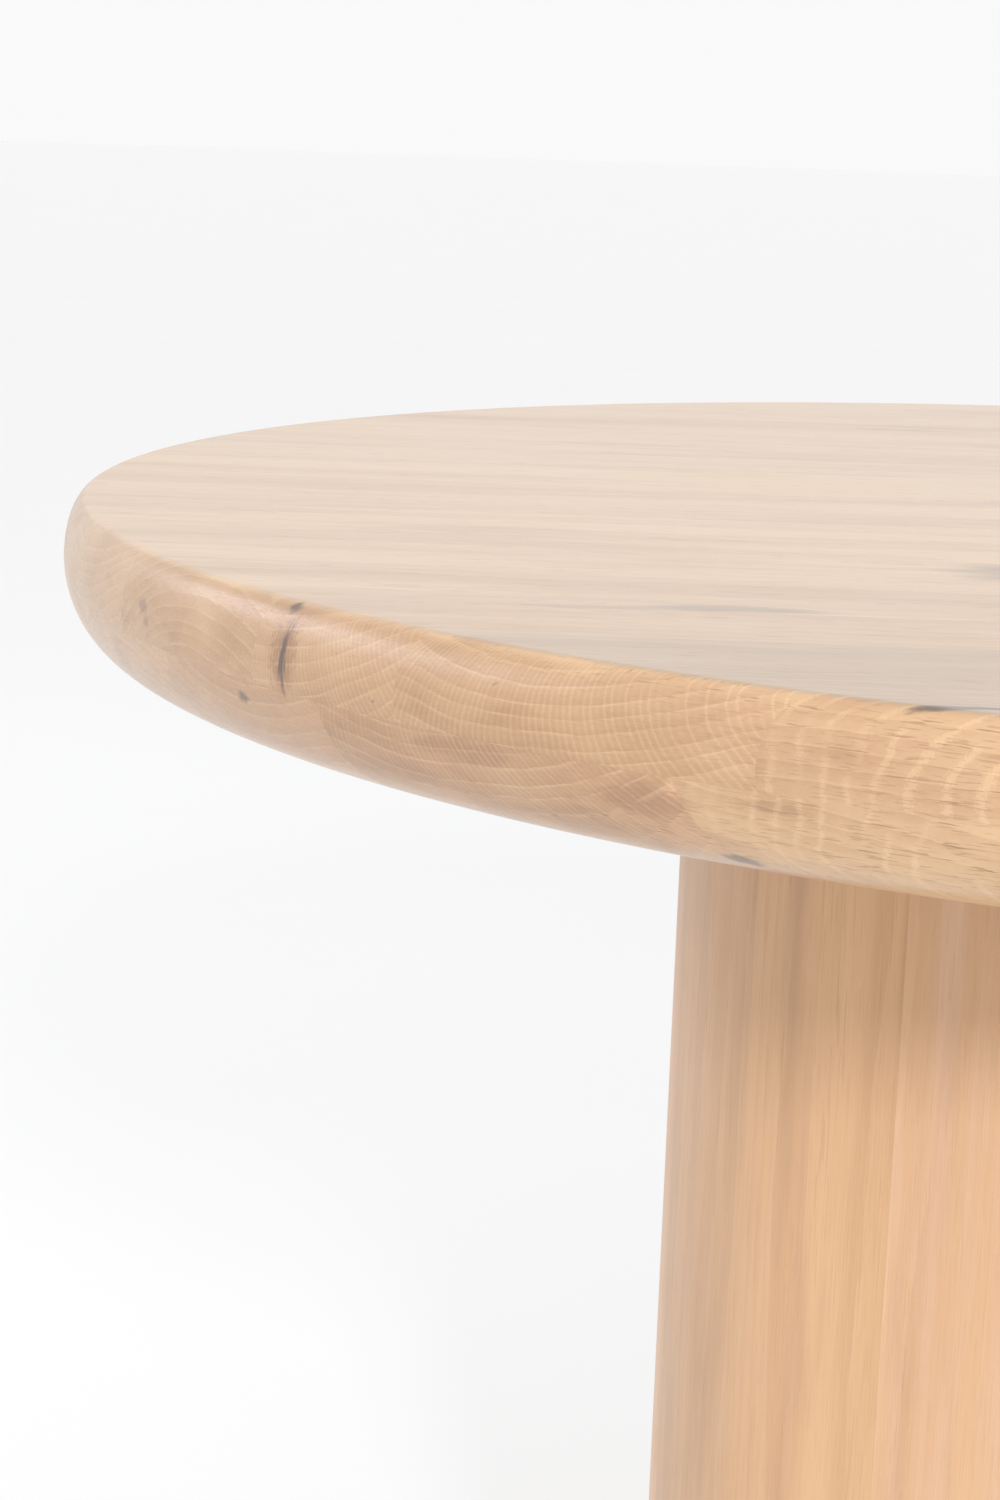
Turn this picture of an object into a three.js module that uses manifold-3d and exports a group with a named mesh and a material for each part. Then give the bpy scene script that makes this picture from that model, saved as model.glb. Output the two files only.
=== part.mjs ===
// Round pedestal table in solid oak. Millimetres, +Z up, origin on the floor under the centre.
// The top is two layers of edge-glued boards, glued face to face, with one soft-rounded edge.
// It is bolted to a hollow drum column of glued staves that stands on four levelling feet.
import * as THREE from 'three';
import { mergeVertices } from 'three/addons/utils/BufferGeometryUtils.js';
import Module from 'manifold-3d';

const wasm = await Module();
wasm.setup();

// Whole table
const TABLE_HEIGHT = 750;
const GAP = 0.3; // clearance left at every glue line and seat

// Top
const TOP_RADIUS = 500;
const LAYER = 28; // thickness of one layer of boards
const UPPER_ROUND = { inset: 9.5, drop: 22 }; // the upper quarter of the edge: in from the rim, down from the face
const LOWER_ROUND = { inset: 27, drop: 34 }; // the fuller lower quarter
const RIM_SEGMENTS = 128;
const ROUND_STEPS = 6;
const UPPER_SEAMS = [-431, -352, -298, -208, -94, 24, 106, 188, 268, 345, 420]; // glue lines, across Y
const LOWER_SEAMS = [-417, -325, -246, -150, -50, 56, 148, 228, 306, 382, 450];

// Column
const COLUMN_RADIUS = 245;
const STAVES = 18;
const STAVE_THICKNESS = 28;
const STAVE_ARC_STEPS = 4;
const FIRST_SEAM = THREE.MathUtils.degToRad(-134.3); // turns the staves against the boards
const TOP_BOARD = 30; // thickness of the disc that takes the bolts
const BOTTOM_RING = 24; // thickness of the ring that takes the feet
const ACCESS_RADIUS = 100; // opening in the ring for reaching the bolts

// Bolts and the threaded inserts that they and the feet turn in
const BOLT_CIRCLE = 150;
const BOLT_SHANK = 4;
const BOLT_HOLE = 4.5;
const BOLT_GRIP = 16; // thread in the insert
const FLANGE = { radius: 8.5, height: 2 };
const HEX_HEAD = { corner: 7.5, height: 6 };
const INSERT = { outer: 6.5, bore: 4.3, length: 20 };
const INSERT_HOLE = 6.8;
const INSERT_HOLE_DEPTH = 22;

// Levelling feet
const FOOT_CIRCLE = 188;
const FOOT_BASE = { radius: 20, edge: 7, chamfer: 1.2 };
const FOOT_HUB = 9;
const FOOT_RISE = 10; // floor to the bottom of the column
const STUD_TOP = 30;
const FASTENERS = 4; // bolts, and feet
const CIRCLE_SEGMENTS = 72;
const SMALL_SEGMENTS = 16;

const TOP_UNDERSIDE = TABLE_HEIGHT - 2 * LAYER;
const MID_GLUE_LINE = TABLE_HEIGHT - LAYER;
const DISC_RADIUS = COLUMN_RADIUS - STAVE_THICKNESS - 0.4;

const MATERIALS = {
  topOak: new THREE.MeshStandardMaterial({ color: 0xe3c49d, roughness: 0.42, metalness: 0 }),
  columnOak: new THREE.MeshStandardMaterial({ color: 0xd9b68a, roughness: 0.45, metalness: 0 }),
  plywood: new THREE.MeshStandardMaterial({ color: 0xcfae80, roughness: 0.7, metalness: 0 }),
  zincSteel: new THREE.MeshStandardMaterial({ color: 0xb9bcbf, roughness: 0.35, metalness: 1 }),
  nylon: new THREE.MeshStandardMaterial({ color: 0x1d1d1e, roughness: 0.55, metalness: 0 }),
};

// A closed three.js geometry as a solid that can be cut
function toSolid(geometry) {
  const bare = geometry.clone();
  bare.deleteAttribute('normal');
  bare.deleteAttribute('uv');
  const merged = mergeVertices(bare, 1e-4);
  const index = merged.index.array;
  const triangles = [];
  for (let i = 0; i < index.length; i += 3) {
    const [a, b, c] = [index[i], index[i + 1], index[i + 2]];
    if (a !== b && b !== c && c !== a) triangles.push(a, b, c); // the poles of a lathe leave slivers
  }
  return new wasm.Manifold(new wasm.Mesh({
    numProp: 3,
    vertProperties: merged.attributes.position.array,
    triVerts: new Uint32Array(triangles),
  }));
}

function toGeometry(solid) {
  const { vertProperties, triVerts } = solid.getMesh();
  const geometry = new THREE.BufferGeometry();
  geometry.setAttribute('position', new THREE.BufferAttribute(vertProperties.slice(), 3));
  geometry.setIndex(new THREE.BufferAttribute(triVerts.slice(), 1));
  geometry.computeVertexNormals();
  return geometry;
}

function namedMesh(name, geometry, material) {
  const mesh = new THREE.Mesh(geometry, material);
  mesh.name = name;
  return mesh;
}

// A solid of revolution about Z from [radius, height] pairs, listed from the bottom up
function turned(profile, segments) {
  const points = profile.map(([radius, height]) => new THREE.Vector2(radius, height));
  return new THREE.LatheGeometry(points, segments).rotateX(Math.PI / 2);
}

function boxBetween(low, high) {
  const size = high.map((value, i) => value - low[i]);
  const middle = high.map((value, i) => (value + low[i]) / 2);
  return new THREE.BoxGeometry(...size).translate(...middle);
}

function onCircle(radius, turn) {
  const angle = Math.PI / FASTENERS + (turn * 2 * Math.PI) / FASTENERS;
  return new THREE.Vector2(radius * Math.cos(angle), radius * Math.sin(angle));
}

function circlePath(PathClass, centre, radius, segments) {
  const path = new PathClass();
  for (let i = 0; i < segments; i += 1) {
    const angle = (i * 2 * Math.PI) / segments;
    const x = centre.x + radius * Math.cos(angle);
    const y = centre.y + radius * Math.sin(angle);
    if (i === 0) path.moveTo(x, y);
    else path.lineTo(x, y);
  }
  path.closePath();
  return path;
}

// The whole top before it is sawn along its glue lines
function topProfile() {
  const widest = TOP_UNDERSIDE + LOWER_ROUND.drop;
  const profile = [[0, TOP_UNDERSIDE]];
  for (let i = 0; i <= ROUND_STEPS; i += 1) {
    const angle = (i / ROUND_STEPS - 1) * (Math.PI / 2);
    profile.push([
      TOP_RADIUS - LOWER_ROUND.inset * (1 - Math.cos(angle)),
      widest + LOWER_ROUND.drop * Math.sin(angle),
    ]);
  }
  for (let i = 1; i <= ROUND_STEPS; i += 1) {
    const angle = (i / ROUND_STEPS) * (Math.PI / 2);
    profile.push([
      TOP_RADIUS - UPPER_ROUND.inset * (1 - Math.cos(angle)),
      widest + UPPER_ROUND.drop * Math.sin(angle),
    ]);
  }
  profile.push([0, TABLE_HEIGHT]);
  return profile;
}

// One layer of the top: the round blank between two heights, sawn along the seams
function boards(blank, seams, bottom, top, prefix) {
  const edges = [-TOP_RADIUS - 1, ...seams, TOP_RADIUS + 1];
  return edges.slice(0, -1).map((edge, i) => {
    const low = [-TOP_RADIUS - 1, edge + GAP / 2, bottom];
    const high = [TOP_RADIUS + 1, edges[i + 1] - GAP / 2, top];
    const board = blank.intersect(toSolid(boxBetween(low, high)));
    return namedMesh(`${prefix}_${i + 1}`, toGeometry(board), MATERIALS.topOak);
  });
}

function tableTop() {
  let blank = toSolid(turned(topProfile(), RIM_SEGMENTS));
  const hole = new THREE.CylinderGeometry(INSERT_HOLE, INSERT_HOLE, 2 * INSERT_HOLE_DEPTH, SMALL_SEGMENTS);
  hole.rotateX(Math.PI / 2);
  for (let i = 0; i < FASTENERS; i += 1) {
    const place = onCircle(BOLT_CIRCLE, i);
    blank = blank.subtract(toSolid(hole.clone().translate(place.x, place.y, TOP_UNDERSIDE)));
  }
  const group = new THREE.Group();
  group.add(...boards(blank, LOWER_SEAMS, TOP_UNDERSIDE - 1, MID_GLUE_LINE - GAP / 2, 'lower_board'));
  group.add(...boards(blank, UPPER_SEAMS, MID_GLUE_LINE + GAP / 2, TABLE_HEIGHT + 1, 'upper_board'));
  return group;
}

// A stave centred on +X: round outside, flat inside and flat glued edges
function staveGeometry() {
  const halfTurn = Math.PI / STAVES;
  const outerHalf = halfTurn - GAP / 2 / COLUMN_RADIUS;
  const flat = COLUMN_RADIUS - STAVE_THICKNESS;
  const flatHalf = flat * Math.tan(halfTurn) - GAP / 2 / Math.cos(halfTurn);
  const shape = new THREE.Shape();
  shape.moveTo(flat, -flatHalf);
  for (let i = 0; i <= STAVE_ARC_STEPS; i += 1) {
    const angle = outerHalf * ((2 * i) / STAVE_ARC_STEPS - 1);
    shape.lineTo(COLUMN_RADIUS * Math.cos(angle), COLUMN_RADIUS * Math.sin(angle));
  }
  shape.lineTo(flat, flatHalf);
  shape.closePath();
  const depth = TOP_UNDERSIDE - GAP - FOOT_RISE;
  return new THREE.ExtrudeGeometry(shape, { depth, bevelEnabled: false }).translate(0, 0, FOOT_RISE);
}

function columnWall() {
  const group = new THREE.Group();
  const geometry = staveGeometry();
  for (let i = 0; i < STAVES; i += 1) {
    const stave = namedMesh(`column_stave_${i + 1}`, geometry, MATERIALS.columnOak);
    stave.rotation.z = FIRST_SEAM + ((i + 0.5) * 2 * Math.PI) / STAVES;
    group.add(stave);
  }
  return group;
}

// A disc inside the staves, with a hole at each fastener and any opening in the middle
function discGeometry(bottom, thickness, fastenerCircle, fastenerHole, opening) {
  const centre = new THREE.Vector2(0, 0);
  const shape = circlePath(THREE.Shape, centre, DISC_RADIUS, CIRCLE_SEGMENTS);
  for (let i = 0; i < FASTENERS; i += 1) {
    shape.holes.push(circlePath(THREE.Path, onCircle(fastenerCircle, i), fastenerHole, SMALL_SEGMENTS));
  }
  if (opening) shape.holes.push(circlePath(THREE.Path, centre, opening, CIRCLE_SEGMENTS));
  return new THREE.ExtrudeGeometry(shape, { depth: thickness, bevelEnabled: false }).translate(0, 0, bottom);
}

function insertGeometry(bottom) {
  const top = bottom + INSERT.length;
  const { outer, bore } = INSERT;
  return turned([[bore, bottom], [outer, bottom], [outer, top], [bore, top], [bore, bottom]], SMALL_SEGMENTS);
}

// A flanged hexagon bolt, head down, with its seat at the height of the board's underside
function boltGeometry() {
  const seat = TOP_UNDERSIDE - GAP - TOP_BOARD - GAP;
  const tip = TOP_UNDERSIDE + BOLT_GRIP;
  const body = turned([
    [0, seat - FLANGE.height], [FLANGE.radius, seat - FLANGE.height], [FLANGE.radius, seat],
    [BOLT_SHANK, seat], [BOLT_SHANK, tip - 1], [BOLT_SHANK - 1, tip], [0, tip],
  ], SMALL_SEGMENTS);
  const head = new THREE.CylinderGeometry(HEX_HEAD.corner, HEX_HEAD.corner, HEX_HEAD.height + 1, 6);
  head.rotateX(Math.PI / 2).translate(0, 0, seat - FLANGE.height - HEX_HEAD.height / 2 + 0.5);
  return toGeometry(toSolid(body).add(toSolid(head)));
}

// A levelling foot: a broad base, a hub that stops against the ring, and a threaded stud
function footGeometry() {
  const { radius, edge, chamfer } = FOOT_BASE;
  return turned([
    [0, 0], [radius - chamfer, 0], [radius, chamfer], [radius, edge],
    [FOOT_HUB, FOOT_RISE - GAP], [BOLT_SHANK, FOOT_RISE - GAP],
    [BOLT_SHANK, STUD_TOP - 1], [BOLT_SHANK - 1, STUD_TOP], [0, STUD_TOP],
  ], 2 * SMALL_SEGMENTS);
}

// Four copies of a piece on a circle about the table's axis
function aroundAxis(name, geometry, material, radius) {
  const group = new THREE.Group();
  for (let i = 0; i < FASTENERS; i += 1) {
    const piece = namedMesh(`${name}_${i + 1}`, geometry, material);
    const place = onCircle(radius, i);
    piece.position.set(place.x, place.y, 0);
    group.add(piece);
  }
  return group;
}

const topBoardBottom = TOP_UNDERSIDE - GAP - TOP_BOARD;
const table = new THREE.Group();
table.add(
  tableTop(),
  columnWall(),
  namedMesh('column_top_board', discGeometry(topBoardBottom, TOP_BOARD, BOLT_CIRCLE, BOLT_HOLE), MATERIALS.plywood),
  namedMesh(
    'column_bottom_ring',
    discGeometry(FOOT_RISE, BOTTOM_RING, FOOT_CIRCLE, INSERT_HOLE, ACCESS_RADIUS),
    MATERIALS.plywood,
  ),
  aroundAxis('top_insert', insertGeometry(TOP_UNDERSIDE + GAP), MATERIALS.zincSteel, BOLT_CIRCLE),
  aroundAxis('top_bolt', boltGeometry(), MATERIALS.zincSteel, BOLT_CIRCLE),
  aroundAxis('foot_insert', insertGeometry(FOOT_RISE + GAP), MATERIALS.zincSteel, FOOT_CIRCLE),
  aroundAxis('levelling_foot', footGeometry(), MATERIALS.nylon, FOOT_CIRCLE),
);

export default table;
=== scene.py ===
"""A round oak pedestal table: two layers of glued boards with a soft edge, on a drum of narrow strips."""

import math
import random

import bmesh
import bpy
from mathutils import Matrix, Vector


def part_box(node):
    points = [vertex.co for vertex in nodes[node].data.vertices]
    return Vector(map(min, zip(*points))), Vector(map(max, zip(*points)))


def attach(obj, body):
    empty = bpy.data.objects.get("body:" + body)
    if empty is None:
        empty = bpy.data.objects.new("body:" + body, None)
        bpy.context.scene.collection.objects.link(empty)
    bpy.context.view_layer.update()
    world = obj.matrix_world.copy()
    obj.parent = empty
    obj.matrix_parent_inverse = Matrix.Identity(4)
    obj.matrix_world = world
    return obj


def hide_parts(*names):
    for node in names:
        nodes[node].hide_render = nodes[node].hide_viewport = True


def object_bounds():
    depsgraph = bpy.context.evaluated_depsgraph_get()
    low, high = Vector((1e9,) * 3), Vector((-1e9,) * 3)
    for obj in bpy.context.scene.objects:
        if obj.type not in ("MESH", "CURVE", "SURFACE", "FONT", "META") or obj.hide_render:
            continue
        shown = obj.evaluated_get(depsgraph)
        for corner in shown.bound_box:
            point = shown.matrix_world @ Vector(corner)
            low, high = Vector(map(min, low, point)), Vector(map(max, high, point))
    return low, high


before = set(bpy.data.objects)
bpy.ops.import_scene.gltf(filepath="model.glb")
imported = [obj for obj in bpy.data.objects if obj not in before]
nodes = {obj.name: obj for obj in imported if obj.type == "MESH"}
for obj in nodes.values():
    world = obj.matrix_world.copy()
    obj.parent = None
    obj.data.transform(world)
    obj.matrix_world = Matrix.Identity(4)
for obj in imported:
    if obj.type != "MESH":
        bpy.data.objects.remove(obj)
cad_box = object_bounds()
MM = 0.001


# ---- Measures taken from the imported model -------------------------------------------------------

def family(stem):
    """The numbered nodes of one kind, in order."""
    found = [name for name in nodes if name.startswith(stem)]
    return sorted(found, key=lambda name: int(name.rsplit("_", 1)[1]))


def seams_between(names):
    """Where neighbouring boards meet, across the grain."""
    return [(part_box(a)[1].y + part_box(b)[0].y) / 2 for a, b in zip(names, names[1:])]


def plan_middle(name):
    low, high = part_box(name)
    return Vector(((low.x + high.x) / 2, (low.y + high.y) / 2, 0))


def heading(name):
    """The compass direction of a node's middle, seen from above."""
    corners = [v.co for v in nodes[name].data.vertices]
    middle = sum(corners, Vector()) / len(corners)
    return math.atan2(middle.y, middle.x)


UPPER_BOARDS, LOWER_BOARDS = family("upper_board_"), family("lower_board_")
STAVES = family("column_stave_")
RADIUS = cad_box[1].x
TABLE_TOP = cad_box[1].z
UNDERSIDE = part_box(LOWER_BOARDS[0])[0].z
GLUE_LINE = (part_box(LOWER_BOARDS[0])[1].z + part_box(UPPER_BOARDS[0])[0].z) / 2
stave_reach = [v.co.to_2d().length for v in nodes[STAVES[0]].data.vertices]
COLUMN_RADIUS = max(stave_reach)
COLUMN_LOW, COLUMN_HIGH = (corner.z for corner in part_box(STAVES[0]))

# How the edge is rounded: in from the rim and down or up from the faces
UPPER_ROUND = {"inset": 9.5 * MM, "drop": 22 * MM}
LOWER_ROUND = {"inset": 27 * MM, "drop": 34 * MM}
HAIRLINE = 0.01 * MM  # what is left open at a glued joint
HARDWARE_GAP = 0.3 * MM  # left between hardware and wood
FASTENERS = 4  # bolts, and feet
QUARTER = math.pi / 2
LONGEST_SHIFT = 9000  # millimetres along its log that a piece may be cut from
RIM_STEPS = 384
ROUND_STEPS = 22
STAVE_DEPTH = 28 * MM
STRIPS_PER_STAVE = 2
STRIP_STEPS = 14
SLIVER = 0.002  # share of a strip beside each joint, so that the shading stays round right up to it
FOOT_ROUND = 1.6 * MM  # eased lower edge of the column
FOOT_ROUND_STEPS = 6


# ---- Material recipes ---------------------------------------------------------------------------

class Wire:
    """One output of a node. Arithmetic on it adds Math nodes."""

    def __init__(self, recipe, socket):
        self.recipe, self.socket = recipe, socket

    def math(self, operation, *rest):
        return self.recipe.node("ShaderNodeMath", {"operation": operation}, [self, *rest])

    def __add__(self, other):
        return self.math("ADD", other)

    def __mul__(self, other):
        return self.math("MULTIPLY", other)

    def __sub__(self, other):
        return self.math("SUBTRACT", other)

    def __rsub__(self, other):
        return self.recipe.node("ShaderNodeMath", {"operation": "SUBTRACT"}, [other, self])

    def __truediv__(self, other):
        return self.math("DIVIDE", other)

    def __abs__(self):
        return self.math("ABSOLUTE")

    __radd__, __rmul__ = __add__, __mul__

    def step(self, low, high):
        """Eases from 0 at low to 1 at high. low may be the larger of the two."""
        settings = {"interpolation_type": "SMOOTHSTEP"}
        return self.recipe.node("ShaderNodeMapRange", settings, [self, low, high, 0.0, 1.0])


class Recipe:
    """A material and the nodes that make it."""

    def __init__(self, name):
        self.material = bpy.data.materials.new(name)
        self.material.use_nodes = True
        self.tree = self.material.node_tree
        self.tree.nodes.clear()

    def node(self, kind, settings=(), inputs=(), output=0):
        """Any node: its settings, what goes into its sockets, and which output is wanted."""
        made = self.tree.nodes.new(kind)
        for name, value in dict(settings).items():
            setattr(made, name, value)
        for key, value in inputs.items() if isinstance(inputs, dict) else enumerate(inputs):
            if isinstance(value, Wire):
                self.tree.links.new(value.socket, made.inputs[key])
            else:
                made.inputs[key].default_value = value
        return Wire(self, made.outputs[output])

    def attribute(self, name):
        """A vector that the mesh holds at each of its points."""
        return self.node("ShaderNodeAttribute", {"attribute_name": name}, output="Vector")

    def object_place(self):
        return self.node("ShaderNodeTexCoord", output="Object")

    def surface_normal(self):
        return self.node("ShaderNodeNewGeometry", output="Normal")

    def split(self, vector):
        return [self.node("ShaderNodeSeparateXYZ", (), [vector], i) for i in range(3)]

    def vector(self, x, y, z):
        return self.node("ShaderNodeCombineXYZ", (), [x, y, z])

    def vector_math(self, operation, *values, output="Vector"):
        return self.node("ShaderNodeVectorMath", {"operation": operation}, values, output)

    def scaled(self, vector, by):
        return self.vector_math("MULTIPLY", vector, by)

    def noise(self, vector, cell, detail, roughness=0.5, output="Fac"):
        """Noise whose cells measure cell along each axis of vector."""
        place = self.scaled(vector, [1 / size for size in cell])
        values = {"Vector": place, "Scale": 1.0, "Detail": detail, "Roughness": roughness}
        return self.node("ShaderNodeTexNoise", (), values, output)

    def mix(self, first, second, share, blend="MIX"):
        """Colours mixed: share of second over first."""
        settings = {"data_type": "RGBA", "blend_type": blend, "clamp_result": False}
        return self.node("ShaderNodeMix", settings, {0: share, 6: first, 7: second}, 2)

    def bump(self, height, distance, strength):
        values = {"Strength": strength, "Distance": distance, "Height": height}
        return self.node("ShaderNodeBump", (), values)

    def finish(self, **sockets):
        """Ends in one Principled shader. Underscores stand for the spaces in a socket's name."""
        named = {name.replace("_", " "): value for name, value in sockets.items()}
        shader = self.node("ShaderNodeBsdfPrincipled", (), named)
        ending = self.tree.nodes.new("ShaderNodeOutputMaterial")
        self.tree.links.new(shader.socket, ending.inputs["Surface"])
        return self.material


def colour(red, green, blue):
    return (red, green, blue, 1.0)


# Dark mineral marks that belong to single boards: the middle as shares of the table's radius (x, y)
# and millimetres below the top face, half lengths (along, across, deep) in millimetres, and how dark
DARK_MARKS = [
    ((-0.779, -0.614, 1.5), (7, 3.6, 3.2), 0.90),
    ((-0.400, -0.891, 0), (28, 3.0, 3.0), 0.95),
    ((-0.325, -0.894, 0), (36, 2.6, 3.0), 0.90),
    ((-0.508, -0.832, 51), (13, 5.0, 2.4), 0.80),
    ((-0.890, -0.455, 16), (7, 5.0, 3), 0.45),
    ((-0.887, -0.462, 21), (5, 3.0, 2.5), 0.35),
    ((-0.810, -0.580, 34), (6, 3.6, 2.6), 0.80),
    ((0.120, -0.700, 0), (30, 3.0, 5), 0.60),
    ((0.560, -0.260, 0), (45, 3.5, 5), 0.55),
    ((-0.250, 0.640, 0), (38, 3.0, 5), 0.60),
]
# The same for soft grey-brown smudges on the face
SMUDGES = [
    ((-0.285, -0.379, 0), (34, 26.0, 8), 0.80),
    ((-0.170, -0.384, 0), (56, 16.0, 8), 0.65),
    ((-0.500, -0.584, 0), (40, 9.0, 8), 0.80),
    ((-0.585, -0.594, 0), (40, 4.5, 8), 0.40),
    ((0.330, 0.210, 0), (70, 9.0, 8), 0.60),
]
# The same for patches of brown heartwood that show on the end grain
BROWN_PATCHES = [
    ((-0.670, -0.745, 32), (26, 24, 5.0), 0.45),
    ((-0.720, -0.700, 44), (36, 20, 7.0), 0.35),
    ((-0.570, -0.822, 37), (24, 16, 7.0), 0.60),
    ((-0.610, -0.790, 48), (46, 34, 7.0), 0.45),
    ((-0.500, -0.866, 32), (24, 8, 2.2), 0.55),
]
# An open check in the rim, with the brown wood round it, laid out in the same way
CHECK_PLACE = (-0.7835, -0.6215, 16)
CHECK_HALF = (16, 2.0, 14)
CHECK_HALO_HALF = (16, 8, 16)


LUMP_OUTSIDE, LUMP_INSIDE = 1.0, 0.35  # shares of the half lengths between which a lump fades


def mark_middle(x, y, below):
    """Where a mark lies, in metres."""
    return (x * RADIUS, y * RADIUS, TABLE_TOP - below * MM)


def soft_lump(make, here, middle, half, ragged):
    """1 in the middle of an ellipsoid and 0 outside it, with a ragged edge. half is in millimetres."""
    away = make.vector_math("SUBTRACT", here, middle)
    sized = make.scaled(away, [1 / (size * MM) for size in half])
    reach = make.vector_math("LENGTH", sized, output="Value")
    return (reach + ragged).step(LUMP_OUTSIDE, LUMP_INSIDE)


def lumps(make, here, places, ragged):
    """The strongest of several soft lumps at this point of the top."""
    total = None
    for place, half, depth in places:
        mask = soft_lump(make, here, mark_middle(*place), half, ragged) * depth
        total = mask if total is None else total.math("MAXIMUM", mask)
    return total


def ragged_noise(make, here, cell, swing):
    """Noise about 0 that frays the outline of a lump. cell is in millimetres."""
    return (make.noise(here, [size * MM for size in cell], 3) - 0.5) * swing


OAK = {
    "pore": colour(0.225, 0.110, 0.048),
    "ray": colour(0.800, 0.560, 0.325),
    "grey": colour(0.300, 0.218, 0.146),
    "smudge": colour(0.230, 0.145, 0.088),
    "brown": colour(0.330, 0.178, 0.090),
    "mineral": colour(0.085, 0.055, 0.045),
    "end_grain": colour(0.86, 0.83, 0.83),
}
# The two ends of the wood's tone, its rosy streaks, its lacquer, and how far its figure shows
TOP_FINISH = {
    "pale": colour(0.610, 0.402, 0.222),
    "tan": colour(0.412, 0.240, 0.118),
    "rose": colour(0.600, 0.350, 0.205),
    "roughness": 0.36,
    "coat": 0.74,
    "coat_roughness": 0.25,
    "ring_show": 0.04,
    "ray_show": 0.19,
    "pore_show": 0.75,
    "pore_cell": (36, 4.0, 0.55),
}
COLUMN_FINISH = {
    "pale": colour(0.638, 0.384, 0.196),
    "tan": colour(0.440, 0.232, 0.102),
    # The column's pale rose is partly the wood's rosy streaks and partly painted light, the paler colour
    # where the key light falls.
    "rose": colour(0.700, 0.455, 0.310),
    "roughness": 0.42,
    "coat": 0.20,
    "coat_roughness": 0.30,
    "ring_show": 0.03,
    "ray_show": 0.10,
    "pore_show": 0.16,
    "pore_cell": (26, 0.75, 5.0),
}
RING = 4.7  # millimetres of growth a year
RAYS = 54  # broad rays to a radian about the pith


def about_the_pith(make, log):
    """Distance from the pith and angle about it, in a trunk that sways and ripples as it grows."""
    _, across, deep = make.split(log)
    sway_across, sway_deep, _ = make.split(make.noise(log, (430, 75, 75), 1.5, output="Color"))
    across = across + (sway_across - 0.5) * 13
    deep = deep + (sway_deep - 0.5) * 13
    ripple = (make.noise(log, (70, 15, 15), 2) - 0.5) * 2.4
    reach = (across * across + deep * deep).math("SQRT") + ripple
    return reach, across.math("ARCTAN2", deep)


def growth_rings(make, reach):
    """The pale porous start of each year's ring and its dense end."""
    uneven = (make.noise(make.vector(reach, 0.0, 0.0), (17, 1, 1), 2) - 0.5) * 2.2
    season = (reach / RING + uneven).math("FRACT")
    return season.step(0.26, 0.02), season.step(0.35, 0.95)


def broad_rays(make, log, reach, turn, crumbs):
    """Sheets of ray tissue that stand out from the pith, and the wood between them."""
    along, _, _ = make.split(log)
    sheet = turn * RAYS + (make.noise(log, (46, 20, 20), 2) - 0.5) * 1.6
    middle = abs(sheet.math("FRACT") - 0.5)
    place = make.vector(sheet.math("FLOOR") * 3.7, along, reach)
    present = make.noise(place, (1, 30, 30), 1).step(0.40, 0.56)
    ray = (middle + (crumbs - 0.5) * 0.50).step(0.17, 0.07) * present
    hatch = middle.step(0.10, 0.42) * (crumbs * 0.8 + 0.4)
    return ray, hatch


def open_pores(make, log, cell, flat, early):
    """Short dark grooves along the grain, most of them in the early wood."""
    on_faces = make.noise(log, (15, 0.9, 0.9), 1.0).step(0.61, 0.70) * flat * 0.6
    on_edges = make.noise(log, cell, 1.0).step(0.590, 0.655) * (1 - flat)
    return (on_faces + on_edges) * (early * 0.55 + 0.50)


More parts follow.
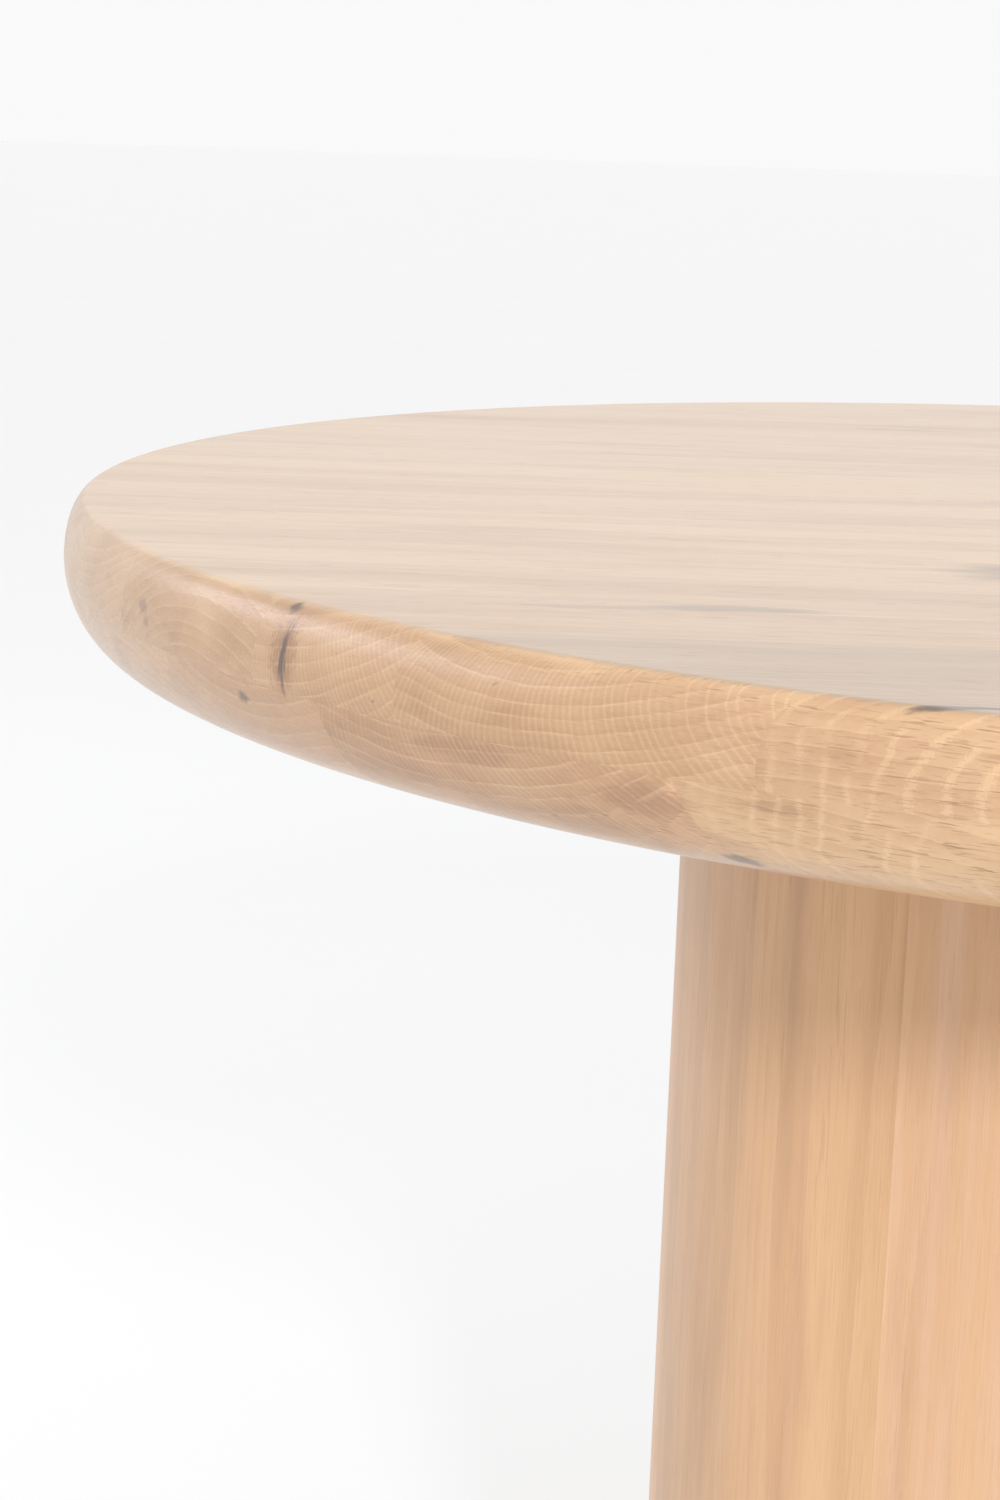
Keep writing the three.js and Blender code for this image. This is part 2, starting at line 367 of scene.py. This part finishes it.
def oak(name, marked, finish):
    """Oak cut from a log. Each point knows its place in that log, so rings, rays and pores run through
    the piece: end grain shows on the ends, cathedrals on the faces, rays where a cut lies along them.
    log_place is along the log and from the pith, in millimetres, and board_look is a board's darkness,
    rosiness and greyness, on some boards and strips partly painted light and shade. A marked oak also
    has the marks that belong to single boards."""
    make = Recipe(name)
    log = make.attribute("log_place")
    dark, rosy, grey = make.split(make.attribute("board_look"))
    here = make.object_place()
    normal = make.surface_normal()
    grain_way = make.attribute("grain_way")
    facing = make.vector_math("DOT_PRODUCT", normal, grain_way, output="Value")
    end = abs(facing).step(0.34, 0.62)
    side = 1 - end
    _, _, up = make.split(normal)
    flat = abs(up).step(0.55, 0.85)

    reach, turn = about_the_pith(make, log)
    early, late = growth_rings(make, reach)
    crumbs = make.noise(log, (0.9, 0.5, 0.9), 2)
    ray, hatch = broad_rays(make, log, reach, turn, crumbs)
    pores = open_pores(make, log, finish["pore_cell"], flat, early)

    body = make.noise(log, (330, 34, 24), 2)
    streaks = make.noise(log, (260, 13, 9), 2, 0.5)
    fibre = make.noise(log, (30, 0.8, 0.8), 3, 0.6)
    fine = (streaks - 0.5) * (0.7 - flat * 0.25) + (fibre - 0.5) * (0.40 - flat * 0.28)
    tone = late * 0.16 + (body - 0.5) * (1.2 + flat * 0.6) + fine * (1 - flat * 0.45) + dark + 0.40
    wood = make.mix(finish["pale"], finish["tan"], tone.math("MAXIMUM", 0.0).math("MINIMUM", 1.0))
    wood = make.mix(wood, finish["rose"], (streaks.step(0.35, 0.70) * 0.6 + 0.2) * rosy)
    wood = make.mix(wood, OAK["grey"], grey * up.step(0.80, 0.98) if marked else grey)

    heart = make.noise(log, (190, 26, 15), 2).step(0.56, 0.72) * 0.28
    stain = make.noise(log, (150, 4.5, 4.5), 2).step(0.74, 0.84) * 0.5
    if marked:
        cloudy = ragged_noise(make, here, (30, 9, 9), 0.9)
        smudge = lumps(make, here, SMUDGES, cloudy) * (0.65 + streaks * 0.6)
        wood = make.mix(wood, OAK["smudge"], smudge)
        wide = ragged_noise(make, here, (24, 9, 7), 1.5)
        heart = heart.math("MAXIMUM", lumps(make, here, BROWN_PATCHES, wide) * 0.95)
        frayed = ragged_noise(make, here, (9, 2.2, 2.2), 1.1)
        stain = stain.math("MAXIMUM", lumps(make, here, DARK_MARKS, frayed))
        check = mark_middle(*CHECK_PLACE)
        torn = ragged_noise(make, here, (4, 1.1, 7), 1.6)
        stain = stain.math("MAXIMUM", soft_lump(make, here, check, CHECK_HALF, torn))
        halo = soft_lump(make, here, check, CHECK_HALO_HALF, frayed) * 0.70
        heart = heart.math("MAXIMUM", halo)
    wood = make.mix(wood, OAK["brown"], heart)
    wood = make.mix(wood, OAK["brown"], hatch * end * (heart * 0.7 + 0.16))
    worn = make.noise(log, (60, 14, 9), 1).step(0.35, 0.65) * 0.20 + 0.07
    wood = make.mix(wood, OAK["ray"], early * (end * worn + side * finish["ring_show"]))
    wood = make.mix(wood, OAK["ray"], ray * (side * finish["ray_show"] + end * 0.12))
    wood = make.mix(wood, OAK["pore"], pores * (side * finish["pore_show"] + end * 0.12))
    wood = make.mix(wood, OAK["end_grain"], end, "MULTIPLY")
    wood = make.mix(wood, OAK["mineral"], stain * 0.88)

    relief = fibre * 0.25 - pores * 0.8 + ray * crumbs * 0.6 - early * 0.15
    rubbed = make.noise(here, (45 * MM, 45 * MM, 45 * MM), 3)
    rough = finish["roughness"] + (rubbed - 0.5) * 0.12 + pores * 0.16 + (fibre - 0.5) * 0.08
    return make.finish(
        Base_Color=wood,
        Roughness=rough,
        IOR=1.5,
        Coat_Weight=finish["coat"] - crumbs.step(0.45, 0.62) * (end * 0.30 + 0.08),
        Coat_Roughness=finish["coat_roughness"],
        Coat_IOR=1.5,
        Normal=make.bump(relief, 0.12 * MM, 0.45),
    )


PLY = 1.4 * MM  # thickness of one ply
PLYWOOD = {
    "pale": colour(0.64, 0.47, 0.29),
    "dark": colour(0.47, 0.31, 0.17),
    "ply_side": colour(0.55, 0.38, 0.22),
    "ply_end": colour(0.27, 0.16, 0.08),
    "glue": colour(0.12, 0.07, 0.04),
}
ZINC = {"bright": colour(0.62, 0.63, 0.65), "bloom": colour(0.44, 0.43, 0.40)}
NYLON = {"moulded": colour(0.017, 0.017, 0.018), "rubbed": colour(0.045, 0.044, 0.043)}
FLOOR = {"paint": colour(0.34, 0.34, 0.34), "dust": colour(0.32, 0.32, 0.32), "glow": 0.58}


def plywood(name):
    """Birch plywood: thin plies across each other on the edge, quiet rotary-cut grain on the faces."""
    make = Recipe(name)
    here = make.object_place()
    _, _, height = make.split(here)
    ply = (height / PLY).math("FRACT")
    every_other = (height / (2 * PLY)).math("FRACT").step(0.48, 0.52)
    normal = make.surface_normal()
    _, _, up = make.split(normal)
    edge = abs(up).step(0.7, 0.3)
    figure = make.noise(here, (0.30, 0.022, 0.022), 4, 0.6)
    fleck = make.noise(here, (0.016, 0.0011, 0.0011), 2)
    shade = (figure - 0.45) * 1.1 + (fleck - 0.5) * 0.5
    face = make.mix(PLYWOOD["pale"], PLYWOOD["dark"], shade + 0.35)
    edges = make.mix(PLYWOOD["ply_side"], PLYWOOD["ply_end"], every_other * 0.75 + shade * 0.3)
    glue = abs(ply - 0.5).step(0.44, 0.5)
    edges = make.mix(edges, PLYWOOD["glue"], glue * 0.7)
    return make.finish(
        Base_Color=make.mix(face, edges, edge),
        Roughness=0.62 + (fleck - 0.5) * 0.2,
        Normal=make.bump(figure * 0.5 + fleck - glue * edge, 0.15 * MM, 0.5),
    )


def zinc_plate(name):
    """Bright zinc on turned steel: fine turning marks, a little bloom and darker handling."""
    make = Recipe(name)
    here = make.object_place()
    bloom = make.noise(here, (0.006, 0.006, 0.004), 4, 0.6)
    turning = make.noise(here, (0.004, 0.004, 0.00018), 2)
    plate = make.mix(ZINC["bright"], ZINC["bloom"], bloom.step(0.45, 0.75))
    return make.finish(
        Base_Color=plate,
        Metallic=1.0,
        Roughness=0.24 + bloom * 0.22 + (turning - 0.5) * 0.12,
        Normal=make.bump(turning, 0.02 * MM, 0.4),
    )


def black_nylon(name):
    """Moulded nylon: near black, finely pitted, rubbed lighter on its high spots."""
    make = Recipe(name)
    here = make.object_place()
    pitting = make.noise(here, (0.0005, 0.0005, 0.0005), 2)
    wear = make.noise(here, (0.009, 0.009, 0.004), 4).step(0.5, 0.75)
    return make.finish(
        Base_Color=make.mix(NYLON["moulded"], NYLON["rubbed"], wear),
        Roughness=0.50 + wear * 0.18 + (pitting - 0.5) * 0.15,
        Normal=make.bump(pitting, 0.04 * MM, 0.5),
    )


def pale_floor(name):
    """A seamless studio floor that stays near white away from the table."""
    make = Recipe(name)
    here = make.object_place()
    dust = make.noise(here, (0.6, 0.6, 0.6), 3)
    paint = make.mix(FLOOR["paint"], FLOOR["dust"], dust)
    return make.finish(
        Base_Color=paint,
        Roughness=0.8,
        Emission_Color=colour(1, 1, 1),
        Emission_Strength=FLOOR["glow"],
        Specular_IOR_Level=0.1,
    )


# ---- Shapes -------------------------------------------------------------------------------------

def edge_profile():
    """The top's rounded edge as (radius, height), from its underside up to its face."""
    widest = UNDERSIDE + LOWER_ROUND["drop"]
    points = []
    for i in range(ROUND_STEPS + 1):
        angle = (i / ROUND_STEPS - 1) * QUARTER
        radius = RADIUS - LOWER_ROUND["inset"] * (1 - math.cos(angle))
        points.append((radius, widest + LOWER_ROUND["drop"] * math.sin(angle)))
    for i in range(1, ROUND_STEPS + 1):
        angle = i / ROUND_STEPS * QUARTER
        radius = RADIUS - UPPER_ROUND["inset"] * (1 - math.cos(angle))
        points.append((radius, widest + UPPER_ROUND["drop"] * math.sin(angle)))
    return points


CENTRE = Vector()
CREASE = math.radians(35)  # edges sharper than this are shaded as edges


def round_point(mesh, middle, radius, angle, height):
    across, back = radius * math.cos(angle), radius * math.sin(angle)
    return mesh.verts.new((middle.x + across, middle.y + back, height))


def ring_of(mesh, radius, height, steps, middle=CENTRE):
    turn = 2 * math.pi / steps
    return [round_point(mesh, middle, radius, i * turn, height) for i in range(steps)]


def stack_rings(mesh, rings, closed=False):
    """Walls between rings that lie one above the other; the first and last are capped, or joined."""
    pairs = list(zip(rings, rings[1:])) + ([(rings[-1], rings[0])] if closed else [])
    for low, high in pairs:
        for i in range(len(low)):
            j = (i + 1) % len(low)
            mesh.faces.new((low[i], low[j], high[j], high[i])).smooth = True
    if not closed:
        mesh.faces.new(list(reversed(rings[0])))
        mesh.faces.new(rings[-1])


def crease(mesh):
    for edge in mesh.edges:
        if len(edge.link_faces) == 2 and edge.calc_face_angle(0) > CREASE:
            edge.smooth = False


def keep_side(mesh, point, normal):
    """Saws a solid at a plane, keeps the side that normal points away from, and closes the cut."""
    whole = list(mesh.verts) + list(mesh.edges) + list(mesh.faces)
    cut = bmesh.ops.bisect_plane(
        mesh, geom=whole, dist=1e-7, plane_co=point, plane_no=normal, clear_outer=True
    )
    rim = [e for e in cut["geom_cut"] if isinstance(e, bmesh.types.BMEdge) and e.is_boundary]
    bmesh.ops.holes_fill(mesh, edges=rim)


def as_piece(name, mesh, material):
    """Turns a finished shape into an object. Normals have to be right before the creases are found."""
    bmesh.ops.recalc_face_normals(mesh, faces=mesh.faces)
    mesh.normal_update()
    crease(mesh)
    data = bpy.data.meshes.new(name)
    mesh.to_mesh(data)
    mesh.free()
    data.materials.append(material)
    made = bpy.data.objects.new(name, data)
    bpy.context.scene.collection.objects.link(made)
    return made


def write_look(piece, places, way, look):
    """Gives each point its place in the log, the grain's direction and the board's look, which on some
    boards is partly painted light and shade.
    """
    count = len(places)
    looks = {"log_place": places, "grain_way": [way] * count, "board_look": [look] * count}
    for name, values in looks.items():
        layer = piece.data.attributes.new(name, "FLOAT_VECTOR", "POINT")
        layer.data.foreach_set("vector", [number for value in values for number in value])


def settle(piece, body, slot, *stands_for):
    """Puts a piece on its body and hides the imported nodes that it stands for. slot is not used."""
    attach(piece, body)
    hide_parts(*stands_for)


# ---- The top ------------------------------------------------------------------------------------

# A board's pith in millimetres, across the table and above the top's face, then its darkness,
# rosiness and greyness. Boards are numbered from the front.
# The boards further back are paler: partly their own tone, partly painted reflection, the brighter sheen
# the far top shows at grazing angles.
UPPER_LOGS = {
    1: ((-462, -230), (0.16, 0.08, 0.45)),
    2: ((-380, 62), (0.14, 0.16, 0.46)),
    3: ((-300, 52), (0.02, 0.30, 0.00)),
    4: ((-262, -75), (-0.08, 0.10, 0.04)),
    5: ((-150, 95), (-0.30, 0.10, 0.00)),
    6: ((-20, -90), (-0.20, 0.40, 0.00)),
    7: ((70, 80), (-0.44, 0.10, 0.00)),
}
# The lower layer's boards are set darker: partly their own tone, partly painted shade on the lower part of
# the rim, which faces down.
LOWER_LOGS = {
    1: ((-385, -190), (-0.04, 0.06, 0.00)),
    2: ((-355, 46), (0.46, 0.50, 0.00)),
    3: ((-292, 30), (0.16, 0.45, 0.00)),
}
INSERT_HOLE = {"radius": 6.8 * MM, "depth": 22 * MM}
draws = random.Random(41)


def any_log(middle):
    """A log for a board that has none of its own: the pith lies above or below it."""
    side = draws.choice((-1, 1))
    pith = (middle / MM + draws.uniform(-38, 38), side * draws.uniform(60, 115) - 20)
    # Boards without a log of their own are always paler: partly their own tone, partly painted reflection
    # of the far top's sheen.
    return pith, (draws.uniform(-0.48, -0.10), draws.uniform(0, 0.45), draws.uniform(0, 0.10))


def lay_board(node, piece_name, across, level, blank, log, material, holes):
    """A board sawn out of the round blank, between two places across the table and two heights."""
    mesh = blank.copy()
    keep_side(mesh, (0, across[0], 0), (0, -1, 0))
    keep_side(mesh, (0, across[1], 0), (0, 1, 0))
    keep_side(mesh, (0, 0, level[0]), (0, 0, -1))
    keep_side(mesh, (0, 0, level[1]), (0, 0, 1))
    board = as_piece(piece_name, mesh, material)
    for hole in holes:
        if across[0] < hole.y < across[1]:
            drill(board, hole)
    (pith_y, pith_z), look = log
    shift = draws.uniform(0, LONGEST_SHIFT)
    flip = -1 if pith_z > (GLUE_LINE - TABLE_TOP) / MM else 1
    places = [
        (v.co.x / MM + shift, v.co.y / MM - pith_y, flip * ((v.co.z - TABLE_TOP) / MM - pith_z))
        for v in board.data.vertices
    ]
    write_look(board, places, (1, 0, 0), look)
    settle(board, "table", "top_oak", node)


def drill(board, hole):
    """A blind hole up into the underside, for a threaded insert."""
    mesh = bmesh.new()
    ends = (UNDERSIDE - INSERT_HOLE["depth"], UNDERSIDE + INSERT_HOLE["depth"])
    stack_rings(mesh, [ring_of(mesh, INSERT_HOLE["radius"], height, 48, hole) for height in ends])
    cutter = as_piece("cutter", mesh, board.data.materials[0])
    cut = board.modifiers.new("hole", "BOOLEAN")
    cut.object, cut.operation, cut.solver = cutter, "DIFFERENCE", "EXACT"
    seen = board.evaluated_get(bpy.context.evaluated_depsgraph_get())
    old, board.data = board.data, bpy.data.meshes.new_from_object(seen)
    board.modifiers.clear()
    board.data.name = old.name
    bpy.data.meshes.remove(old)
    bpy.data.objects.remove(cutter)


def make_top(material):
    blank = bmesh.new()
    stack_rings(blank, [ring_of(blank, radius, height, RIM_STEPS) for radius, height in edge_profile()])
    holes = [plan_middle(node) for node in family("top_insert_")]
    half = HAIRLINE / 2
    clear = 1.0  # metres past the blank, where a board isn't sawn
    layers = (
        (UPPER_BOARDS, "top_board", (GLUE_LINE + half, TABLE_TOP + clear), UPPER_LOGS, ()),
        (LOWER_BOARDS, "under_board", (UNDERSIDE - clear, GLUE_LINE - half), LOWER_LOGS, holes),
    )
    for boards, stem, level, logs, drilled in layers:
        cuts = [-RADIUS - clear, *seams_between(boards), RADIUS + clear]
        for number, node in enumerate(boards, 1):
            across = (cuts[number - 1] + half, cuts[number] - half)
            middle = (max(across[0], -RADIUS) + min(across[1], RADIUS)) / 2
            log = logs.get(number) or any_log(middle)
            lay_board(node, f"{stem}_{number}", across, level, blank, log, material, drilled)
    blank.free()


# ---- The column ---------------------------------------------------------------------------------

# The darkness, rosiness and greyness of the strips on the drum's front left. Strips 2, 1 and 36, on the
# side the key light falls on, are paler and rosier: partly their own tone, partly painted light.
STRIP_LOOKS = {
    1: (-0.16, 0.75, 0.00),
    2: (-0.12, 0.60, 0.00),
    36: (-0.20, 0.10, 0.00),
    35: (-0.02, 0.20, 0.00),
    34: (0.04, 0.30, 0.08),
    33: (-0.08, 0.35, 0.15),
}


def strip_outline():
    """Points of a strip's upright section: whether on the round face, how far in from it, and height."""
    points = [(False, 0, COLUMN_LOW), (False, 0, COLUMN_HIGH), (True, 0, COLUMN_HIGH)]
    points += [(True, 0, COLUMN_LOW + FOOT_ROUND + height * MM) for height in (240, 120, 60, 24)]
    for i in range(FOOT_ROUND_STEPS + 1):
        angle = i / FOOT_ROUND_STEPS * math.pi / 2
        inset = FOOT_ROUND * (1 - math.cos(angle))
        points.append((True, inset, COLUMN_LOW + FOOT_ROUND * (1 - math.sin(angle))))
    return points


def make_strip(name, stave, middle, span, log, look, material):
    """One narrow strip of the drum: round outside and flat where the stave is flat."""
    first, last = span
    mesh = bmesh.new()
    flat = COLUMN_RADIUS - STAVE_DEPTH
    outline = strip_outline()
    sections = []
    shares = [0, SLIVER, *(i / STRIP_STEPS for i in range(1, STRIP_STEPS)), 1 - SLIVER, 1]
    for share in shares:
        angle = first + (last - first) * share
        section = []
        for outside, inset, height in outline:
            radius = COLUMN_RADIUS - inset if outside else flat / math.cos(angle - middle)
            section.append(round_point(mesh, CENTRE, radius, angle, height))
        sections.append(section)
    count = len(outline)
    for one, other in zip(sections, sections[1:]):
        for i in range(count):
            j = (i + 1) % count
            mesh.faces.new((one[i], other[i], other[j], one[j])).smooth = outline[i][0] and outline[j][0]
    mesh.faces.new(sections[0])
    mesh.faces.new(list(reversed(sections[-1])))
    strip = as_piece(name, mesh, material)
    (pith_across, pith_outward, flip), shift = log
    turned = Matrix.Rotation(-(first + last) / 2, 3, "Z")
    places = []
    for v in strip.data.vertices:
        local = turned @ v.co
        outward = (local.x - COLUMN_RADIUS) / MM
        places.append((local.z / MM + shift, local.y / MM - pith_across, flip * (outward - pith_outward)))
    write_look(strip, places, (0, 0, 1), look)
    settle(strip, "table", "column_oak", stave)


def make_column(material):
    pitch = 2 * math.pi / len(STAVES)
    half = HAIRLINE / 2 / COLUMN_RADIUS
    number = 0
    for stave in STAVES:
        middle = heading(stave)
        for part in range(STRIPS_PER_STAVE):
            first = middle + pitch * (part / STRIPS_PER_STAVE - 0.5)
            number += 1
            side = draws.choice((-1, 1))
            heart = (draws.uniform(-45, 45), side * draws.uniform(28, 90) - 8, -side)
            look = (draws.uniform(-0.10, 0.14), draws.uniform(0.0, 0.75), draws.uniform(0, 0.14))
            look = STRIP_LOOKS.get(number, look)
            last = first + pitch / STRIPS_PER_STAVE - half
            log = (heart, draws.uniform(0, LONGEST_SHIFT))
            name = f"drum_strip_{number}"
            make_strip(name, stave, middle, (first + half, last), log, look, material)


# ---- Hardware -----------------------------------------------------------------------------------

RINGS_PER_TURN = 8  # of a modelled thread, which also fades out over one turn at each end
M8 = {"depth": 0.65 * MM, "pitch": 1.25 * MM, "steps": 40}
FOOT_EDGE = {"height": 7 * MM, "ease": 1.3 * MM}
SOLE_RECESS = ((5 * MM, 0.5 * MM), (4.4 * MM, 0))  # in from the rim, and up from the floor
FOOT_HUB = {"radius": 9 * MM, "bevel_radius": 9.6 * MM, "bevel_drop": 0.4 * MM}
STUD_RADIUS = 3.95 * MM
INSERT = {"radius": 6.5 * MM, "bore": 4.3 * MM}
INSERT_THREAD = {"depth": 0.9 * MM, "pitch": 2.5 * MM, "steps": 56}
FLANGE = {"radius": 8.5 * MM, "thick": 2 * MM, "below": 2.2 * MM, "neck": 7.2 * MM}
FLANGE_EASE = {"low": 0.5 * MM, "high": 0.4 * MM, "steps": 3}
SHANK = {"radius": 4 * MM, "plain": 28 * MM, "thread_from": 28.2 * MM, "thread_radius": 3.98 * MM}
BOLT_STEPS = 40
HEX_CORNER = 7.5 * MM
# The end of the bolt's head: shares of the corner's radius, and millimetres up from the end
HEX_END = ((0.80, 0.2), (0.86, 0), (0.93, 0.25), (1.0, 0.9))


def triangle_wave(x):
    """1 at whole numbers and 0 half way between them."""
    return abs((x % 1) * 2 - 1)


def threaded(mesh, middle, radius, low, high, depth, pitch, steps):
    """Rings of a screw thread, from low to high, that fade out at both ends."""
    count = max(4, round((high - low) / pitch * RINGS_PER_TURN))
    rings = []
    for i in range(count + 1):
        height = low + (high - low) * i / count
        fade = min(1, i / RINGS_PER_TURN, (count - i) / RINGS_PER_TURN)
        ring = []
        for j in range(steps):
            groove = depth * fade * triangle_wave(height / pitch - j / steps)
            ring.append(round_point(mesh, middle, radius - groove, 2 * math.pi * j / steps, height))
        rings.append(ring)
    return rings


def rounded(radius, height, ease, upward, steps=5):
    """A quarter round at a corner, as (radius, height) pairs: from the lower flat out to the wall
    where upward is -1, and from the wall in to the upper flat where it is 1."""
    points = []
    for i in range(steps + 1):
        angle = i / steps * math.pi / 2
        wave = (math.sin(angle), math.cos(angle))
        along, off = wave if upward < 0 else reversed(wave)
        points.append((radius - ease * (1 - along), height - upward * ease * (1 - off)))
    return points


def make_foot(index, nylon, zinc):
    """A levelling foot: moulded nylon base with a steel stud."""
    node = f"levelling_foot_{index}"
    low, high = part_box(node)
    middle = plan_middle(node)
    radius = (high.x - low.x) / 2
    hub_top = COLUMN_LOW - HARDWARE_GAP
    profile = [(radius - inset, height) for inset, height in SOLE_RECESS]
    profile += rounded(radius, 0, FOOT_EDGE["ease"], -1)
    profile += rounded(radius, FOOT_EDGE["height"], FOOT_EDGE["ease"], 1)
    profile += [(FOOT_HUB["bevel_radius"], hub_top - FOOT_HUB["bevel_drop"]), (FOOT_HUB["radius"], hub_top)]
    mesh = bmesh.new()
    stack_rings(mesh, [ring_of(mesh, r, z, 96, middle) for r, z in profile])
    base = as_piece(f"foot_base_{index}", mesh, nylon)
    settle(base, f"foot_{index}", "black_nylon", node)
    mesh = bmesh.new()
    stack_rings(mesh, threaded(mesh, middle, STUD_RADIUS, hub_top, high.z, **M8))
    stud = as_piece(f"foot_stud_{index}", mesh, zinc)
    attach(stud, f"foot_{index}")


def make_insert(node, piece_name, zinc):
    """A threaded insert: a coarse wood thread outside and a plain bore."""
    low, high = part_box(node)
    middle = plan_middle(node)
    mesh = bmesh.new()
    outside = threaded(mesh, middle, INSERT["radius"], low.z, high.z, **INSERT_THREAD)
    steps = INSERT_THREAD["steps"]
    bore = [ring_of(mesh, INSERT["bore"], z, steps, middle) for z in (high.z, low.z)]
    stack_rings(mesh, outside + bore, closed=True)
    settle(as_piece(piece_name, mesh, zinc), "table", "zinc_steel", node)


def make_bolt(index, zinc):
    """A flanged hexagon bolt, head down."""
    node = f"top_bolt_{index}"
    low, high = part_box(node)
    middle = plan_middle(node)
    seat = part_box("column_top_board")[0].z - HARDWARE_GAP
    eased = FLANGE_EASE["steps"]
    profile = [(FLANGE["neck"], seat - FLANGE["below"])]
    profile += rounded(FLANGE["radius"], seat - FLANGE["thick"], FLANGE_EASE["low"], -1, eased)
    profile += rounded(FLANGE["radius"], seat, FLANGE_EASE["high"], 1, eased)
    profile += [(SHANK["radius"], seat), (SHANK["radius"], seat + SHANK["plain"])]
    mesh = bmesh.new()
    rings = [ring_of(mesh, r, z, BOLT_STEPS, middle) for r, z in profile]
    thread = threaded(mesh, middle, SHANK["thread_radius"], seat + SHANK["thread_from"], high.z, **M8)
    stack_rings(mesh, rings + thread)
    settle(as_piece(f"bolt_{index}", mesh, zinc), "table", "zinc_steel", node)
    levels = [(1.0, seat - FLANGE["below"])]
    levels += [(share, low.z + up * MM) for share, up in reversed(HEX_END)]
    mesh = bmesh.new()
    stack_rings(mesh, [ring_of(mesh, HEX_CORNER * share, z, 6, middle) for share, z in levels])
    head = as_piece(f"bolt_head_{index}", mesh, zinc)
    for face in head.data.polygons:
        face.use_smooth = False
    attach(head, "table")


# ---- Studio -------------------------------------------------------------------------------------

SKY = 0.95
FLOOR_RINGS = ((80, -0.02), (80, 0), (9, 0), (3, 0), (0.8, 0))  # radius and height, in metres
# Each light's name, place, aim, size, watts, tint, and whether it gives sheen, soft light or both
LIGHTS = (
    ("key_softbox", (0.3, -3.6, 2.12), (0, 0, 0.6), (0.42, 0.42), 104, (0.96, 1.0, 1.10), "both"),
    ("edge_softbox", (-3.0, 0.4, 1.72), (0, 0, TABLE_TOP), (2.6, 0.7), 13, (0.90, 0.96, 1.15), "sheen"),
    ("left_window", (-3.2, 1.1, 2.3), (0, 0, 0.55), (0.6, 0.6), 28, (0.95, 0.99, 1.08), "soft"),
)


def make_floor():
    mesh = bmesh.new()
    stack_rings(mesh, [ring_of(mesh, radius, height, 96) for radius, height in FLOOR_RINGS])
    floor = as_piece("studio_floor", mesh, pale_floor("studio_floor"))


def area_light(name, place, aim, size, power, tint, gives):
    """A rectangular light. Sheen shows only in reflections, and soft light never does."""
    lamp = bpy.data.lights.new(name, "AREA")
    lamp.shape, lamp.size, lamp.size_y = "RECTANGLE", *size
    lamp.energy, lamp.color = power, tint
    made = bpy.data.objects.new(name, lamp)
    made.location = place
    made.visible_diffuse = gives != "sheen"
    made.visible_glossy = gives != "soft"
    made.rotation_euler = (Vector(aim) - Vector(place)).to_track_quat("-Z", "Y").to_euler()
    bpy.context.scene.collection.objects.link(made)


def make_studio():
    make_floor()
    world = bpy.data.worlds.new("studio_walls")
    world.use_nodes = True
    sky = world.node_tree.nodes["Background"]
    sky.inputs["Color"].default_value = colour(1.0, 1.0, 1.0)
    sky.inputs["Strength"].default_value = SKY
    bpy.context.scene.world = world
    for light in LIGHTS:
        area_light(*light)


def make_camera():
    """Low over the edge, three quarters left of the middle, a little rolled."""
    dip, roll = 0.2057, 0.0356
    data = bpy.data.cameras.new("camera")
    data.sensor_width, data.lens = 36, 72
    data.clip_start, data.clip_end = 0.05, 100
    camera = bpy.data.objects.new("camera", data)
    bpy.context.scene.collection.objects.link(camera)
    place = Vector((-0.6455 * RADIUS, -2.4546 * RADIUS, TABLE_TOP + 0.2945 * RADIUS))
    level = Matrix.Rotation(math.pi / 2 - dip, 4, "X")
    camera.matrix_world = Matrix.Translation(place) @ level @ Matrix.Rotation(roll, 4, "Z")
    bpy.context.scene.camera = camera


bpy.context.scene.view_settings.view_transform = "Standard"
make_camera()
make_studio()
make_top(oak("top_oak", True, TOP_FINISH))
make_column(oak("column_oak", False, COLUMN_FINISH))
zinc, nylon = zinc_plate("zinc_steel"), black_nylon("black_nylon")
for index in range(1, FASTENERS + 1):
    make_foot(index, nylon, zinc)
    make_bolt(index, zinc)
    make_insert(f"top_insert_{index}", f"top_socket_{index}", zinc)
    make_insert(f"foot_insert_{index}", f"foot_socket_{index}", zinc)
ply = plywood("inner_plywood")
for name in ("column_top_board", "column_bottom_ring"):
    nodes[name].data.materials.clear()
    nodes[name].data.materials.append(ply)
